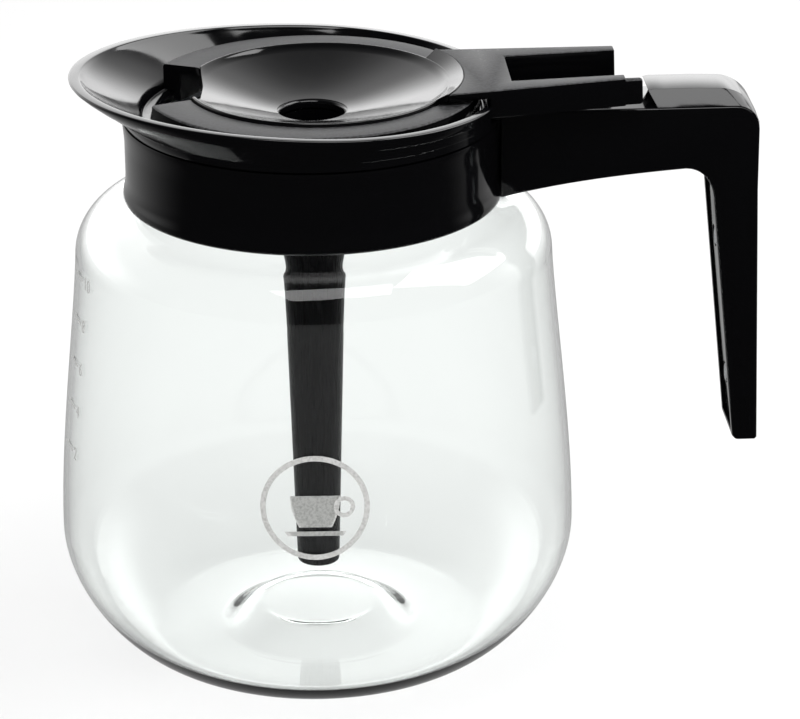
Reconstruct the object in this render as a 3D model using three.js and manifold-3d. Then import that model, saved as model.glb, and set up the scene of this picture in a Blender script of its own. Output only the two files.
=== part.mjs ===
// A glass coffee jug with a plastic collar, a pouring rim, a handle and a lift-off mixing lid.
// Millimetres, +Z up from the table. The jug's axis is x = 0 until the last lines, which centre the
// whole object on its footprint. The handle points along +X and the spout along -X.
import * as THREE from "three";
import { mergeVertices } from "three/addons/utils/BufferGeometryUtils.js";
import Module from "manifold-3d";

const wasm = await Module();
wasm.setup();

const GAP = 0.3; // between pieces that touch
const ROUND = 48; // sides of a turned piece
const ARC_STEPS = 6;

// Glass vessel
const FOOT_RADIUS = 44;
const BELLY_RADIUS = 70;
const BELLY_HEIGHT = 34;
const SHOULDER_RADIUS = 63.8;
const SHOULDER_HEIGHT = 112;
const SHOULDER_BEND = 13.3;
const NECK_RADIUS = 46;
const NECK_START = 129;
const NECK_BEAD = 0.9;
const GLASS_TOP = 147.8;
const GLASS_WALL = 2.2;
const FLOOR_WALL = 2.6;
const PUNT_FLAT = 15;
const PUNT_EDGE = 28;
const PUNT_RISE = 6;

// Collar: neck band, seals and pouring rim
const BAND_RADIUS = 50.2;
const BAND_BOTTOM = 128;
const BAND_TOP = 149.8;
const SLEEVE_TOP = 142.8;
const SLEEVE_OUTER = 47.2;
const SPLIT_RING_HEIGHT = 1.4;
const SPLIT_RING_OUTER = 48.6;
const SPLIT_RING_OPENING = 5;
const RIM_BASE = 151;
const RIM_HEIGHT = 158.8;
const RIM_RADIUS = 51;
const SPOUT_REACH = 63.9;
const RIM_SLOPE = 0.042; // the rim rises toward the spout
const THROAT_RADIUS = 44.9;
const LEDGE_RADIUS = 42;
const LEDGE_TOP = 149.9;
const SADDLE_WIDTH = 43; // gap in the rim that the tongue passes through
const SADDLE_FLOOR = 151.4;

// Handle
const HANDLE_WIDTH = 20;
const HANDLE_ROOT = 51;
const ARM_TOP = 151.6;
const ARM_ROOT_UNDERSIDE = 128.2;
const ARM_END_UNDERSIDE = 134.6;
const ARM_MIDDLE = 75;
const ARM_MIDDLE_UNDERSIDE = 132.2;
const ARM_BEND = 7.5; // inside corner between arm and grip
const GRIP_OUTER = 118;
const GRIP_FOOT_OUTER = 120;
const GRIP_CORNER = 6.5;
const GRIP_FOOT = 55.8;
const GRIP_INNER_TOP = 106;
const GRIP_INNER_FOOT = 113;
const HANDLE_WALL = 2.2;
const LINER_THICKNESS = 2.4;
const LINER_SHORTER = 1;
const CAP_START = 90;
const CAP_END = 111;
const CAP_CROWN = 155.6;
const CAP_CROWN_WIDTH = 11;

// Screws
const SCREW_RADIUS = 1.5;
const SCREW_HEAD_RADIUS = 2.8;
const SCREW_HEAD = 1.6;
const BOSS_RADIUS = 3.4;
const LUG_END = 63;
const LUG_WIDTH = 13;
const LUG_BOTTOM = 136;
const LUG_TOP = 146;
const ROOT_SCREW_X = 57;
const GRIP_SCREW_HEIGHTS = { grip_screw_upper: 112, grip_screw_lower: 72 };

// Lid
const LID_RADIUS = 44.4;
const LID_TOP = 157.4;
const LID_PLATE = 2.4;
const LID_SEAT = 150.2;
const SKIRT_RADIUS = 41.5;
const SKIRT_WALL = 2;
const SKIRT_BOTTOM = 147.5;
const FUNNEL_RADIUS = 35.1;
const FUNNEL_OFFSET = 2; // the funnel's mouth sits toward the handle, its hole on the axis
const FUNNEL_TOP = 158.2;
const FUNNEL_HOLE = 8.5;
const FUNNEL_HOLE_HEIGHT = 149.5;
const FUNNEL_WALL = 1.6;
const FUNNEL_LIP = 2; // width of the lip round the dish
const FUNNEL_CURVE = 1.3; // how much the dish steepens toward its mouth
const NOTCH_REACH = 29; // the pouring notch's inner wall, from the axis
const NOTCH_BACK = 17.7;
const NOTCH_FRONT = -9.5;
const NOTCH_FLARE = 0.38; // how much the notch widens outward on each side

// Tongue
const TONGUE_TOP = 160.4;
const TONGUE_PLATE = 2.2;
const TONGUE_BOTTOM = 152.8;
const TONGUE_ROOT = 30;
const TONGUE_ROOT_WIDTH = 41.4;
const TONGUE_END = 81.5;
const TONGUE_END_WIDTH = 29.2;
const TONGUE_WALL = 2.2;
const TONGUE_WALL_START = 45.5;
const SLOT_START = 52;
const SLOT_WIDTH = 21.5;
const HOOK_END = 86;

// Mixing tube
const TUBE_TOP = 147.6;
const TUBE_BOTTOM = 20;
const TUBE_TOP_RADIUS = 9.4;
const TUBE_BOTTOM_RADIUS = 5.8;
const TUBE_WALL = 1.2;
const TUBE_FLANGE = 12.5;
const TUBE_FLANGE_THICKNESS = 1.4;

const blackGloss = { color: 0x0b0b0c, roughness: 0.12, metalness: 0 };
const blackMatte = { color: 0x232325, roughness: 0.62, metalness: 0 };
const clearGlass = { color: 0xf2f6f4, roughness: 0.02, metalness: 0, transparent: true, opacity: 0.35 };
const greyRubber = { color: 0x3a3a3a, roughness: 0.8, metalness: 0 };
const steel = { color: 0xb9bcc0, roughness: 0.3, metalness: 1 };

const point = (x, y) => new THREE.Vector2(x, y);

// A closed three.js geometry as a solid that can be cut and joined.
function solidFrom(geometry) {
  const bare = geometry.clone();
  bare.deleteAttribute("normal");
  bare.deleteAttribute("uv");
  const merged = mergeVertices(bare, 1e-4);
  return new wasm.Manifold(
    new wasm.Mesh({
      numProp: 3,
      vertProperties: new Float32Array(merged.attributes.position.array),
      triVerts: new Uint32Array(merged.index.array),
    }),
  );
}

// A solid as a three.js geometry.
function geometryFrom(solid) {
  const mesh = solid.getMesh();
  const geometry = new THREE.BufferGeometry();
  geometry.setAttribute("position", new THREE.BufferAttribute(mesh.vertProperties, 3));
  geometry.setIndex(new THREE.BufferAttribute(mesh.triVerts, 1));
  geometry.computeVertexNormals();
  return geometry;
}

// A profile of (radius, height) points turned about Z. It runs anticlockwise and closes on itself,
// or starts and ends on the axis.
function turned(profile, sides = ROUND) {
  const onAxis = profile[0].x === 0 && profile.at(-1).x === 0;
  const outline = onAxis ? profile : [...profile, profile[0]];
  return new THREE.LatheGeometry(outline, sides).rotateX(Math.PI / 2);
}

const turnedSolid = (profile, sides) => solidFrom(turned(profile, sides));

// A flat outline in X and Y drawn up from one height to another.
function raised(shape, bottom, top) {
  const extrusion = new THREE.ExtrudeGeometry(shape, {
    depth: top - bottom,
    bevelEnabled: false,
    curveSegments: ROUND / 2,
  });
  return solidFrom(extrusion.translate(0, 0, bottom));
}

// A side outline in X and Z given a width across Y.
function sideways(shape, width) {
  const extrusion = new THREE.ExtrudeGeometry(shape, {
    depth: width,
    bevelEnabled: false,
    curveSegments: ARC_STEPS,
  });
  return solidFrom(extrusion.translate(0, 0, -width / 2).rotateX(Math.PI / 2));
}

function block(low, high) {
  const size = high.map((value, axis) => value - low[axis]);
  const centre = high.map((value, axis) => (value + low[axis]) / 2);
  return solidFrom(new THREE.BoxGeometry(...size).translate(...centre));
}

// Points along a quarter or other part of an ellipse, angles in degrees from +X.
function arc(centreX, centreY, radiusX, radiusY, from, to, steps = ARC_STEPS) {
  return Array.from({ length: steps + 1 }, (_, i) => {
    const angle = THREE.MathUtils.degToRad(from + ((to - from) * i) / steps);
    return point(centreX + radiusX * Math.cos(angle), centreY + radiusY * Math.sin(angle));
  });
}

// The S-shaped edge of the punt, from its flat top out to the foot.
function puntEdge(thickness) {
  return Array.from({ length: 5 }, (_, i) => {
    const radius = PUNT_FLAT + ((PUNT_EDGE - PUNT_FLAT) * i) / 4;
    const rise = (PUNT_RISE * (1 + Math.cos((Math.PI * i) / 4))) / 2;
    return point(radius, rise + thickness);
  });
}

function glassVessel() {
  const bendCentre = SHOULDER_RADIUS - SHOULDER_BEND;
  const innerBend = SHOULDER_BEND - GLASS_WALL;
  const innerNeck = NECK_RADIUS - GLASS_WALL;
  const corner = BELLY_RADIUS - FOOT_RADIUS;
  const outside = [
    point(0, PUNT_RISE),
    ...puntEdge(0),
    ...arc(FOOT_RADIUS, BELLY_HEIGHT, corner, BELLY_HEIGHT, -90, 0, 9),
    ...arc(bendCentre, SHOULDER_HEIGHT, SHOULDER_BEND, SHOULDER_BEND, 0, 90, 7),
    point(NECK_RADIUS + 1, NECK_START - 2),
    point(NECK_RADIUS, NECK_START),
    point(NECK_RADIUS, GLASS_TOP - 3),
    point(NECK_RADIUS + NECK_BEAD, GLASS_TOP - 2),
    point(NECK_RADIUS + NECK_BEAD, GLASS_TOP - 0.7),
    point(NECK_RADIUS, GLASS_TOP),
  ];
  const inside = [
    point(innerNeck + 0.6, GLASS_TOP),
    point(innerNeck, GLASS_TOP - 0.7),
    point(innerNeck, NECK_START - 1),
    point(innerNeck + 1.4, NECK_START - 3.6),
    ...arc(bendCentre, SHOULDER_HEIGHT, innerBend, innerBend, 90, 0, 7),
    ...arc(FOOT_RADIUS, BELLY_HEIGHT, corner - GLASS_WALL, BELLY_HEIGHT - FLOOR_WALL, 0, -90, 9),
    ...puntEdge(FLOOR_WALL).reverse(),
    point(0, PUNT_RISE + FLOOR_WALL),
  ];
  return turned([...outside, ...inside]);
}

// A plain ring from its inner and outer radius and its two heights.
function ring(inner, outer, bottom, top) {
  return [point(inner, bottom), point(outer, bottom), point(outer, top), point(inner, top)];
}

const neckSleeve = () => turned(ring(NECK_RADIUS + GAP, SLEEVE_OUTER, NECK_START + 0.6, SLEEVE_TOP));

const rimSeal = () => turned(ring(NECK_RADIUS - 1.4, NECK_RADIUS + 1.4, GLASS_TOP + GAP, GLASS_TOP + 0.9));

// The open ring that sits under the glass bead and carries the band.
function splitRing() {
  const bottom = SLEEVE_TOP + 0.4;
  const whole = turnedSolid(ring(NECK_RADIUS + GAP, SPLIT_RING_OUTER, bottom, bottom + SPLIT_RING_HEIGHT));
  const opening = block(
    [-SPLIT_RING_OUTER - 1, -SPLIT_RING_OPENING / 2, bottom - 1],
    [0, SPLIT_RING_OPENING / 2, bottom + SPLIT_RING_HEIGHT + 1],
  );
  return geometryFrom(whole.subtract(opening));
}

// The waisted band round the neck, with the lug that the handle screws to.
function neckBand() {
  const shelf = SLEEVE_TOP + 0.1;
  const inner = SLEEVE_OUTER + GAP;
  const upperInner = SPLIT_RING_OUTER + GAP;
  const wall = turnedSolid([
    point(inner, BAND_BOTTOM),
    point(BAND_RADIUS - 0.4, BAND_BOTTOM),
    point(BAND_RADIUS + 0.3, BAND_BOTTOM + 1.2),
    point(BAND_RADIUS - 0.5, BAND_BOTTOM + 6),
    point(BAND_RADIUS - 0.5, BAND_TOP - 7),
    point(BAND_RADIUS, BAND_TOP - 3),
    point(BAND_RADIUS, BAND_TOP),
    point(upperInner, BAND_TOP),
    point(upperInner, shelf),
    point(inner, shelf),
  ]);
  const lug = block([BAND_RADIUS - 1.2, -LUG_WIDTH / 2, LUG_BOTTOM], [LUG_END, LUG_WIDTH / 2, LUG_TOP]);
  return geometryFrom(wall.add(lug).subtract(upright(ROOT_SCREW_X, LUG_BOTTOM - 1, LUG_TOP + 1)));
}

// Clearance for a screw's shank, standing at x between two heights.
function upright(x, bottom, top) {
  const radius = SCREW_RADIUS + GAP;
  const cylinder = new THREE.CylinderGeometry(radius, radius, top - bottom, 16).rotateX(Math.PI / 2);
  return solidFrom(cylinder.translate(x, 0, (bottom + top) / 2));
}

// Draws the turned rim out to the spout and lifts it that way, more and more from the base to the lip.
function drawnToSpout(geometry) {
  const places = geometry.attributes.position;
  const stretch = SPOUT_REACH / RIM_RADIUS - 1;
  for (let i = 0; i < places.count; i++) {
    const share = THREE.MathUtils.smoothstep(places.getZ(i), RIM_BASE, RIM_HEIGHT);
    const x = places.getX(i) * (places.getX(i) < 0 ? 1 + stretch * share : 1);
    places.setX(i, x);
    places.setZ(i, places.getZ(i) - RIM_SLOPE * share * x);
  }
  return geometry;
}

function pourRim() {
  const flare = drawnToSpout(
    turned([
      point(LEDGE_RADIUS, GLASS_TOP + 1.2),
      point(SPLIT_RING_OUTER - 0.6, GLASS_TOP + 1.2),
      point(SPLIT_RING_OUTER - 0.6, BAND_TOP + GAP),
      point(BAND_RADIUS, BAND_TOP + GAP),
      point(BAND_RADIUS, RIM_BASE + 0.6),
      point(BAND_RADIUS + 0.1, RIM_BASE + 3),
      point(RIM_RADIUS, RIM_HEIGHT - 1.4),
      point(RIM_RADIUS - 0.5, RIM_HEIGHT),
      point(RIM_RADIUS - 2.4, RIM_HEIGHT),
      point(RIM_RADIUS - 3.4, RIM_HEIGHT - 1.2),
      point(THROAT_RADIUS + 2, RIM_BASE + 3),
      point(THROAT_RADIUS, RIM_BASE + 0.6),
      point(THROAT_RADIUS, LEDGE_TOP),
      point(LEDGE_RADIUS, LEDGE_TOP),
    ]),
  );
  const saddle = block(
    [THROAT_RADIUS - 8, -SADDLE_WIDTH / 2, SADDLE_FLOOR],
    [RIM_RADIUS + 2, SADDLE_WIDTH / 2, RIM_HEIGHT + 2],
  );
  return geometryFrom(solidFrom(flare).subtract(saddle));
}

// The handle seen from the side: arm, corner and grip.
function handleOutline() {
  const cornerX = GRIP_OUTER - GRIP_CORNER;
  const cornerZ = ARM_TOP - GRIP_CORNER;
  return new THREE.Shape([
    point(HANDLE_ROOT, ARM_ROOT_UNDERSIDE),
    point(ARM_MIDDLE, ARM_MIDDLE_UNDERSIDE),
    ...gripInside(0),
    point(GRIP_INNER_FOOT, GRIP_FOOT),
    point(GRIP_FOOT_OUTER, GRIP_FOOT),
    ...arc(cornerX, cornerZ, GRIP_CORNER, GRIP_CORNER, 0, 90),
    point(HANDLE_ROOT, ARM_TOP),
  ]);
}

// The rounded inside corner between arm and grip, moved outward by a distance.
function gripInside(outward) {
  const centreX = GRIP_INNER_TOP - ARM_BEND;
  const centreZ = ARM_END_UNDERSIDE - ARM_BEND;
  return arc(centreX, centreZ + outward, ARM_BEND + outward, ARM_BEND, 90, 0, 5);
}

// The room inside the shell, open toward the fingers.
function channelOutline() {
  const cornerX = GRIP_OUTER - GRIP_CORNER;
  const cornerZ = ARM_TOP - GRIP_CORNER;
  const bend = GRIP_CORNER - HANDLE_WALL;
  return new THREE.Shape([
    point(HANDLE_ROOT - 1, ARM_ROOT_UNDERSIDE - 5),
    point(GRIP_INNER_TOP - 2 * ARM_BEND, ARM_END_UNDERSIDE - 3 * ARM_BEND),
    point(GRIP_INNER_FOOT - 8, GRIP_FOOT + HANDLE_WALL),
    point(GRIP_FOOT_OUTER - HANDLE_WALL, GRIP_FOOT + HANDLE_WALL),
    ...arc(cornerX, cornerZ, bend, bend, 0, 90),
    point(HANDLE_ROOT - 1, ARM_TOP - HANDLE_WALL),
  ]);
}

const channelWidth = HANDLE_WIDTH - 2 * HANDLE_WALL;

// A bar lying along X at a height, for screw bosses and holes in the grip.
function lengthwise(radius, from, to, height, sides = 16) {
  const cylinder = new THREE.CylinderGeometry(radius, radius, to - from, sides).rotateZ(Math.PI / 2);
  return solidFrom(cylinder.translate((from + to) / 2, 0, height));
}

const screwTip = GRIP_OUTER - HANDLE_WALL;

function gripScrewHead(height) {
  const gripTop = ARM_END_UNDERSIDE - ARM_BEND;
  const share = (gripTop - height) / (gripTop - GRIP_FOOT);
  return GRIP_INNER_TOP + (GRIP_INNER_FOOT - GRIP_INNER_TOP) * share + 0.8;
}

function handleShell() {
  let shell = sideways(handleOutline(), HANDLE_WIDTH).subtract(sideways(channelOutline(), channelWidth));
  for (const height of Object.values(GRIP_SCREW_HEIGHTS)) {
    const start = gripScrewHead(height) + SCREW_HEAD + 1.6;
    shell = shell
      .add(lengthwise(BOSS_RADIUS, start, GRIP_OUTER - 0.2, height))
      .subtract(lengthwise(SCREW_RADIUS + GAP, start - 1, screwTip + GAP, height));
  }
  return geometryFrom(shell);
}

// The strip that closes the shell on the finger side.
function handleLiner() {
  const slim = channelWidth - 2 * GAP;
  const outline = new THREE.Shape([
    point(HANDLE_ROOT + 0.2, ARM_ROOT_UNDERSIDE + 0.1),
    point(ARM_MIDDLE, ARM_MIDDLE_UNDERSIDE),
    ...gripInside(0),
    point(GRIP_INNER_FOOT, GRIP_FOOT + HANDLE_WALL + LINER_SHORTER),
    point(GRIP_INNER_FOOT + LINER_THICKNESS, GRIP_FOOT + HANDLE_WALL + LINER_SHORTER),
    ...gripInside(LINER_THICKNESS).reverse(),
    point(ARM_MIDDLE, ARM_MIDDLE_UNDERSIDE + LINER_THICKNESS),
    point(HANDLE_ROOT + 0.2, ARM_ROOT_UNDERSIDE + LINER_THICKNESS),
  ]);
  let liner = sideways(outline, slim).subtract(upright(ROOT_SCREW_X, ARM_ROOT_UNDERSIDE, LUG_BOTTOM));
  const rootPocket = new THREE.CylinderGeometry(SCREW_HEAD_RADIUS + GAP, SCREW_HEAD_RADIUS + GAP, 6, 16);
  rootPocket.rotateX(Math.PI / 2).translate(ROOT_SCREW_X, 0, rootScrewBase() + SCREW_HEAD + GAP - 3);
  liner = liner.subtract(solidFrom(rootPocket));
  for (const height of Object.values(GRIP_SCREW_HEIGHTS)) {
    const head = gripScrewHead(height);
    liner = liner
      .subtract(lengthwise(SCREW_HEAD_RADIUS + GAP, head - 4, head + SCREW_HEAD, height))
      .subtract(lengthwise(SCREW_RADIUS + GAP, head - 4, head + 9, height));
  }
  return geometryFrom(liner);
}

const rootScrewBase = () => ARM_ROOT_UNDERSIDE + 0.6;

// A pan-head screw standing on its head at the origin.
function screw(length) {
  return turned(
    [
      point(0, 0),
      point(SCREW_HEAD_RADIUS - 0.5, 0),
      point(SCREW_HEAD_RADIUS - 0.1, 0.5),
      point(SCREW_HEAD_RADIUS - 0.1, SCREW_HEAD),
      point(SCREW_RADIUS, SCREW_HEAD),
      point(SCREW_RADIUS, length - 1),
      point(0, length),
    ],
    16,
  );
}

// The crowned cap that the thumb rests on.
function handleCap() {
  const half = HANDLE_WIDTH / 2;
  const section = new THREE.Shape([
    point(-half, ARM_TOP + GAP),
    point(half, ARM_TOP + GAP),
    point(CAP_CROWN_WIDTH / 2, CAP_CROWN),
    point(-CAP_CROWN_WIDTH / 2, CAP_CROWN),
  ]);
  const bar = new THREE.ExtrudeGeometry(section, { depth: CAP_END - CAP_START, bevelEnabled: false });
  bar.rotateX(Math.PI / 2).rotateZ(Math.PI / 2).translate(CAP_START, 0, 0);
  const slope = new THREE.BoxGeometry(20, HANDLE_WIDTH + 2, 20).rotateY(Math.PI / 4);
  slope.translate(CAP_END + 10, 0, CAP_CROWN + 7);
  return geometryFrom(solidFrom(bar).subtract(solidFrom(slope)));
}

function circleShape(radius, offset = 0) {
  const shape = new THREE.Shape();
  shape.absarc(offset, 0, radius, 0, 2 * Math.PI);
  return shape;
}

// The pouring notch: a pocket that widens toward the spout and cuts ring and funnel alike.
function pouringNotch() {
  const far = LID_RADIUS + 8;
  const widening = NOTCH_FLARE * (far - NOTCH_REACH);
  const outline = new THREE.Shape([
    point(-NOTCH_REACH, NOTCH_BACK),
    point(-far, NOTCH_BACK + widening),
    point(-far, NOTCH_FRONT - widening),
    point(-NOTCH_REACH, NOTCH_FRONT),
  ]);
  return raised(outline, SKIRT_BOTTOM - 1, FUNNEL_TOP + 1);
}

function lidRing() {
  const plateShape = circleShape(LID_RADIUS);
  plateShape.holes.push(circleShape(FUNNEL_RADIUS + GAP, FUNNEL_OFFSET));
  const plate = raised(plateShape, LID_TOP - LID_PLATE, LID_TOP);
  const wall = turnedSolid([
    point(SKIRT_RADIUS - SKIRT_WALL, SKIRT_BOTTOM),
    point(SKIRT_RADIUS, SKIRT_BOTTOM),
    point(SKIRT_RADIUS, LID_SEAT),
    point(LID_RADIUS, LID_SEAT),
    point(LID_RADIUS, LID_TOP - 0.5),
    point(SKIRT_RADIUS - SKIRT_WALL, LID_TOP - 0.5),
  ]);
  const funnelRoom = raised(circleShape(FUNNEL_RADIUS + GAP, FUNNEL_OFFSET), LID_SEAT, LID_TOP + 1);
  const tongueRoom = block(
    [TONGUE_ROOT, -TONGUE_ROOT_WIDTH / 2 - GAP, tongueSeat() - GAP],
    [LID_RADIUS + 2, TONGUE_ROOT_WIDTH / 2 + GAP, LID_TOP + 1],
  );
  return geometryFrom(plate.add(wall).subtract(funnelRoom).subtract(tongueRoom).subtract(pouringNotch()));
}

const tongueSeat = () => TONGUE_TOP - TONGUE_PLATE - 1;

// The shallow oblique dish: its mouth is off centre, its hole on the axis.
function lidFunnel() {
  const reach = FUNNEL_RADIUS - FUNNEL_LIP - FUNNEL_HOLE;
  const drop = FUNNEL_TOP - 1 - FUNNEL_HOLE_HEIGHT;
  const dish = [0, 0.2, 0.4, 0.6, 0.8, 1].map((share) =>
    point(FUNNEL_HOLE + reach * share, FUNNEL_HOLE_HEIGHT + drop * share ** FUNNEL_CURVE),
  );
  const geometry = turned([
    ...dish.map(({ x, y }) => point(x, y - FUNNEL_WALL)),
    point(FUNNEL_RADIUS - FUNNEL_LIP, LID_SEAT + 2),
    point(FUNNEL_RADIUS, LID_SEAT + 2),
    point(FUNNEL_RADIUS, FUNNEL_TOP),
    point(FUNNEL_RADIUS - FUNNEL_LIP / 2, FUNNEL_TOP),
    ...dish.reverse(),
  ]);
  const places = geometry.attributes.position;
  for (let i = 0; i < places.count; i++) {
    const radius = Math.hypot(places.getX(i), places.getY(i));
    const share = THREE.MathUtils.clamp((radius - FUNNEL_HOLE) / reach, 0, 1);
    places.setX(i, places.getX(i) + FUNNEL_OFFSET * share);
  }
  return geometryFrom(solidFrom(geometry).subtract(pouringNotch()));
}

// The tongue's plan, tapering toward the handle.
function tongueWidthAt(x) {
  const share = (x - TONGUE_ROOT) / (TONGUE_END - TONGUE_ROOT);
  return TONGUE_ROOT_WIDTH + (TONGUE_END_WIDTH - TONGUE_ROOT_WIDTH) * share;
}

function tonguePlan(from, to, inset) {
  const near = tongueWidthAt(from) / 2 - inset;
  const far = tongueWidthAt(to) / 2 - inset;
  return new THREE.Shape([point(from, -near), point(to, -far), point(to, far), point(from, near)]);
}

function lidTongue() {
  const plate = raised(tonguePlan(TONGUE_ROOT, TONGUE_END, 0), TONGUE_TOP - TONGUE_PLATE, TONGUE_TOP);
  const skirt = raised(tonguePlan(TONGUE_WALL_START, TONGUE_END, 0), TONGUE_BOTTOM, TONGUE_TOP - 1);
  const hollow = raised(
    tonguePlan(TONGUE_WALL_START + TONGUE_WALL, SLOT_START - TONGUE_WALL, TONGUE_WALL),
    TONGUE_BOTTOM - 1,
    TONGUE_TOP - TONGUE_PLATE,
  );
  const slot = block(
    [SLOT_START, -SLOT_WIDTH / 2, TONGUE_BOTTOM - 1],
    [TONGUE_END + 1, SLOT_WIDTH / 2, TONGUE_TOP + 1],
  );
  const halfEnd = TONGUE_END_WIDTH / 2;
  const hook = block([TONGUE_END - 2, -halfEnd, TONGUE_BOTTOM], [HOOK_END, 2.6 - halfEnd, TONGUE_TOP - 1.4]);
  const mouth = raised(circleShape(FUNNEL_RADIUS + GAP, FUNNEL_OFFSET), TONGUE_BOTTOM - 1, TONGUE_TOP + 1);
  return geometryFrom(plate.add(skirt).subtract(hollow).subtract(slot).add(hook).subtract(mouth));
}

function mixingTube() {
  return turned(
    [
      point(TUBE_BOTTOM_RADIUS - TUBE_WALL, TUBE_BOTTOM),
      point(TUBE_BOTTOM_RADIUS, TUBE_BOTTOM),
      point(TUBE_TOP_RADIUS, TUBE_TOP - TUBE_FLANGE_THICKNESS),
      point(TUBE_FLANGE, TUBE_TOP - TUBE_FLANGE_THICKNESS),
      point(TUBE_FLANGE, TUBE_TOP),
      point(TUBE_TOP_RADIUS - TUBE_WALL, TUBE_TOP),
    ],
    32,
  );
}

const jug = new THREE.Group();

function place(name, geometry, finish) {
  const mesh = new THREE.Mesh(geometry, new THREE.MeshStandardMaterial(finish));
  mesh.name = name;
  jug.add(mesh);
  return mesh;
}

place("glass_vessel", glassVessel(), clearGlass);
place("neck_sleeve", neckSleeve(), greyRubber);
place("rim_seal", rimSeal(), greyRubber);
place("split_ring", splitRing(), steel);
place("neck_band", neckBand(), blackGloss);
place("pour_rim", pourRim(), blackGloss);
place("handle_shell", handleShell(), blackGloss);
place("handle_liner", handleLiner(), blackGloss);
place("handle_cap", handleCap(), blackGloss);
place("root_screw", screw(LUG_TOP - rootScrewBase() - 2), steel).position.set(ROOT_SCREW_X, 0, rootScrewBase());
for (const [name, height] of Object.entries(GRIP_SCREW_HEIGHTS)) {
  const head = gripScrewHead(height);
  const fastener = place(name, screw(screwTip - head), steel);
  fastener.rotation.y = Math.PI / 2;
  fastener.position.set(head, 0, height);
}
place("lid_ring", lidRing(), blackMatte);
place("lid_funnel", lidFunnel(), blackGloss);
place("lid_tongue", lidTongue(), blackMatte);
place("mixing_tube", mixingTube(), blackMatte);

jug.position.x = (BELLY_RADIUS - GRIP_FOOT_OUTER) / 2;

export default jug;
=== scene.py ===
# %% [markdown]
# # A glass coffee jug with a mixing lid
# The jug has two bodies: the jug itself, with its collar and handle, and the lid, which lifts
# straight off with its long mixing tube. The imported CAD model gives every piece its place, and this
# lesson builds the pieces that the eye sees, one at a time, around the same axis.

# %% Start: the frame and its box
import math

import bmesh
import bpy
from mathutils import Matrix, Vector


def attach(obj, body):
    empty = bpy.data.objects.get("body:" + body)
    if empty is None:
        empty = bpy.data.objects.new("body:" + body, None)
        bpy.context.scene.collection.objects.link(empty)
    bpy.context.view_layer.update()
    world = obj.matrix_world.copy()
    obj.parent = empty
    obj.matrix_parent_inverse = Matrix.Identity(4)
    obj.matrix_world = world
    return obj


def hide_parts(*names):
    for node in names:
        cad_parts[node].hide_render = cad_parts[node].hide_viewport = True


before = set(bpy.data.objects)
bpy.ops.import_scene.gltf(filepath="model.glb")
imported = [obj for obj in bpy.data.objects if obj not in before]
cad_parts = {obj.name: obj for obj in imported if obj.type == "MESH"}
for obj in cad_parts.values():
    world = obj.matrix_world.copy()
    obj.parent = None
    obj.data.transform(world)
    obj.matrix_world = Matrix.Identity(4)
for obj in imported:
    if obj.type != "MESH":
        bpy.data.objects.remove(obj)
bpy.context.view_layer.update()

# %% [markdown]
# All measures below are in millimetres from the jug's own axis, the line through the middle of the
# glass. The frame has its origin 25 mm nearer the handle, so one function moves a point over.

# %% Millimetres from the jug's axis
MM = 0.001
AXIS_X = -25.0


def at(x, y, z):
    """A point in millimetres from the jug's axis, as the frame's metres."""
    return Vector(((x + AXIS_X) * MM, y * MM, z * MM))


def from_axis(point):
    """The way back: the frame's metres as millimetres from the jug's axis."""
    return Vector((point.x / MM - AXIS_X, point.y / MM, point.z / MM))


def arc(centre, radius, start, end, steps):
    """Points on part of a circle or ellipse, angles in degrees. Radius is one number or two."""
    wide, high = radius if isinstance(radius, tuple) else (radius, radius)
    angles = [math.radians(start + (end - start) * i / steps) for i in range(steps + 1)]
    return [(centre[0] + wide * math.cos(a), centre[1] + high * math.sin(a)) for a in angles]


def curve(start, pull_start, pull_end, end, steps):
    """Points on a smooth line between two ends that leans toward two pulling points."""
    points = []
    for i in range(steps + 1):
        t = i / steps
        weights = ((1 - t) ** 3, 3 * t * (1 - t) ** 2, 3 * t * t * (1 - t), t**3)
        corners = (start, pull_start, pull_end, end)
        points.append(tuple(sum(w * c[k] for w, c in zip(weights, corners)) for k in (0, 1)))
    return points


print("the jug's axis stands at", tuple(round(c, 4) for c in at(0, 0, 0)))

# %% [markdown]
# Every piece starts as one vertex: a small plane merged to its centre. Extruding that vertex from
# point to point draws a line, as a draughtsman draws a section. A line is then spun into a turned
# piece, or filled and pulled up into a flat one. Leaving everything deselected first matters,
# because an operator acts on all that is selected.

# %% A line of edges through given points
TINY = 0.002 * MM  # closer vertices than this are one


def close_piece():
    """Leaves edit mode."""
    bpy.ops.object.mode_set(mode="OBJECT")


def leave_all():
    """Leaves edit mode if it is on, and deselects every object."""
    if bpy.context.object and bpy.context.object.mode != "OBJECT":
        close_piece()
    bpy.ops.object.select_all(action="DESELECT")


def open_piece(piece, action="SELECT"):
    """Opens one piece for editing, with all of its mesh selected or none of it."""
    leave_all()
    bpy.context.view_layer.objects.active = piece
    bpy.ops.object.mode_set(mode="EDIT")
    bpy.ops.mesh.select_all(action=action)


def draw_line(name, points):
    """A new object in edit mode, with a chain of edges through the points."""
    leave_all()
    bpy.ops.mesh.primitive_plane_add(size=MM, location=points[0])
    piece = bpy.context.object
    piece.name = name
    bpy.ops.object.transform_apply()
    bpy.ops.object.mode_set(mode="EDIT")
    bpy.ops.mesh.select_mode(type="VERT")
    bpy.ops.mesh.select_all(action="SELECT")
    bpy.ops.mesh.merge(type="CENTER")
    for here, there in zip(points, points[1:]):
        bpy.ops.mesh.extrude_region_move(TRANSFORM_OT_translate={"value": there - here})
    bpy.ops.mesh.select_all(action="SELECT")
    return piece


def close_mesh():
    """Merges what lies on one place and turns the faces outward."""
    bpy.ops.mesh.select_all(action="SELECT")
    bpy.ops.mesh.remove_doubles(threshold=TINY)
    bpy.ops.mesh.normals_make_consistent(inside=False)


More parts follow.
